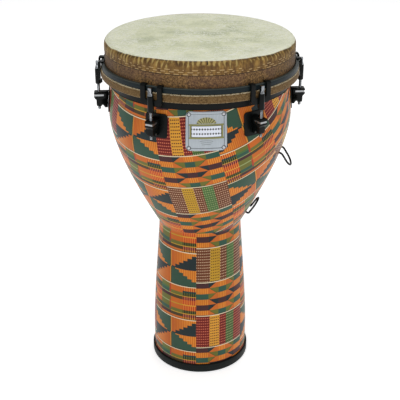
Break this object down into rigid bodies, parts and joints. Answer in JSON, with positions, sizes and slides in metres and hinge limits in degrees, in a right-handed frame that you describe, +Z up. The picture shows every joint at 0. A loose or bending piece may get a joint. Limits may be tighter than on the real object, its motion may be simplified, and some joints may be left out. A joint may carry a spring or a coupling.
{
  "type": "djembe",
  "caption": "Goblet-shaped hand drum with a printed cloth wrap, a stretched head held by hoops, claws and screw rods, a square badge and a rubber foot.",
  "frame": {"origin": "on the drum's axis at the floor, level with the underside of the rubber foot ring", "axes": "+Z up the axis to the playing surface; the badge faces -Y; the two strap loops are on the +X side"},
  "size_m": [0.3564, 0.33, 0.6096],
  "materials": {
    "shell": "moulded wood-fibre board, bare and dark brown inside, black lacquer on the band above the cloth",
    "cloth_wrap": "printed woven-strip pattern in orange, red, gold, green and charcoal under clear gloss lacquer",
    "foot_ring": "matt black moulded rubber",
    "drumhead": "fibre-filled cream film with faint mottling, golden-brown pleated skirt and brown collar",
    "flesh_hoop": "tan fibre wrap, semi-matt",
    "counter_hoop": "satin black powder coat",
    "claw": "gloss black powder coat",
    "tension_rod": "bright chrome",
    "lug": "gloss black powder coat",
    "lug_plate": "gloss black",
    "lug_nut": "plain zinc-plated steel",
    "lug_screw": "plain zinc-plated steel",
    "badge": "satin silver with an olive and pale printed panel",
    "badge_rivet": "satin",
    "strap_loop": "black coated wire",
    "strap_nut": "plain zinc-plated steel"
  },
  "bodies": {
    "drum": {"shell": "shell", "cloth_wrap": "cloth_wrap", "foot_ring": "foot_ring", "drumhead": "drumhead", "lug_1": "lug", "lug_2": "lug", "lug_3": "lug", "lug_4": "lug", "lug_5": "lug", "lug_6": "lug", "lug_plate_1": "lug_plate", "lug_plate_2": "lug_plate", "lug_plate_3": "lug_plate", "lug_plate_4": "lug_plate", "lug_plate_5": "lug_plate", "lug_plate_6": "lug_plate", "lug_nut_1": "lug_nut", "lug_nut_2": "lug_nut", "lug_nut_3": "lug_nut", "lug_nut_4": "lug_nut", "lug_nut_5": "lug_nut", "lug_nut_6": "lug_nut", "lug_screw_1_lower": "lug_screw", "lug_screw_1_upper": "lug_screw", "lug_screw_2_lower": "lug_screw", "lug_screw_2_upper": "lug_screw", "lug_screw_3_lower": "lug_screw", "lug_screw_3_upper": "lug_screw", "lug_screw_4_lower": "lug_screw", "lug_screw_4_upper": "lug_screw", "lug_screw_5_lower": "lug_screw", "lug_screw_5_upper": "lug_screw", "lug_screw_6_lower": "lug_screw", "lug_screw_6_upper": "lug_screw", "badge": "badge", "badge_rivet_1": "badge_rivet", "badge_rivet_2": "badge_rivet", "badge_rivet_3": "badge_rivet", "badge_rivet_4": "badge_rivet", "strap_loop_upper": "strap_loop", "strap_loop_lower": "strap_loop", "strap_nut_upper_left": "strap_nut", "strap_nut_upper_right": "strap_nut", "strap_nut_lower_left": "strap_nut", "strap_nut_lower_right": "strap_nut"},
    "tension_hoop": {"counter_hoop": "counter_hoop", "flesh_hoop": "flesh_hoop", "claw_1": "claw", "claw_2": "claw", "claw_3": "claw", "claw_4": "claw", "claw_5": "claw", "claw_6": "claw"},
    "rod_1": {"tension_rod_1": "tension_rod"},
    "rod_2": {"tension_rod_2": "tension_rod"},
    "rod_3": {"tension_rod_3": "tension_rod"},
    "rod_4": {"tension_rod_4": "tension_rod"},
    "rod_5": {"tension_rod_5": "tension_rod"},
    "rod_6": {"tension_rod_6": "tension_rod"}
  },
  "joints": [
    {"name": "head_tension", "type": "slide", "parent": "drum", "child": "tension_hoop", "axis": [0, 0, -1], "range_m": [-0.00212, 0.00423]},
    {"name": "rod_turn_1", "type": "hinge", "parent": "tension_hoop", "child": "rod_1", "pos_m": [0.0851, -0.1474, 0.5566], "axis": [0, 0, -1], "range_deg": [-720, 1440]},
    {"name": "rod_turn_2", "type": "hinge", "parent": "tension_hoop", "child": "rod_2", "pos_m": [0.1702, 0, 0.5566], "axis": [0, 0, -1], "range_deg": [-720, 1440]},
    {"name": "rod_turn_3", "type": "hinge", "parent": "tension_hoop", "child": "rod_3", "pos_m": [0.0851, 0.1474, 0.5566], "axis": [0, 0, -1], "range_deg": [-720, 1440]},
    {"name": "rod_turn_4", "type": "hinge", "parent": "tension_hoop", "child": "rod_4", "pos_m": [-0.0851, 0.1474, 0.5566], "axis": [0, 0, -1], "range_deg": [-720, 1440]},
    {"name": "rod_turn_5", "type": "hinge", "parent": "tension_hoop", "child": "rod_5", "pos_m": [-0.1702, 0, 0.5566], "axis": [0, 0, -1], "range_deg": [-720, 1440]},
    {"name": "rod_turn_6", "type": "hinge", "parent": "tension_hoop", "child": "rod_6", "pos_m": [-0.0851, -0.1474, 0.5566], "axis": [0, 0, -1], "range_deg": [-720, 1440]}
  ],
  "couplings": [
    {"joint": "rod_turn_1", "follows": "head_tension", "rad_per_m": 5936.9},
    {"joint": "rod_turn_2", "follows": "head_tension", "rad_per_m": 5936.9},
    {"joint": "rod_turn_3", "follows": "head_tension", "rad_per_m": 5936.9},
    {"joint": "rod_turn_4", "follows": "head_tension", "rad_per_m": 5936.9},
    {"joint": "rod_turn_5", "follows": "head_tension", "rad_per_m": 5936.9},
    {"joint": "rod_turn_6", "follows": "head_tension", "rad_per_m": 5936.9}
  ]
}
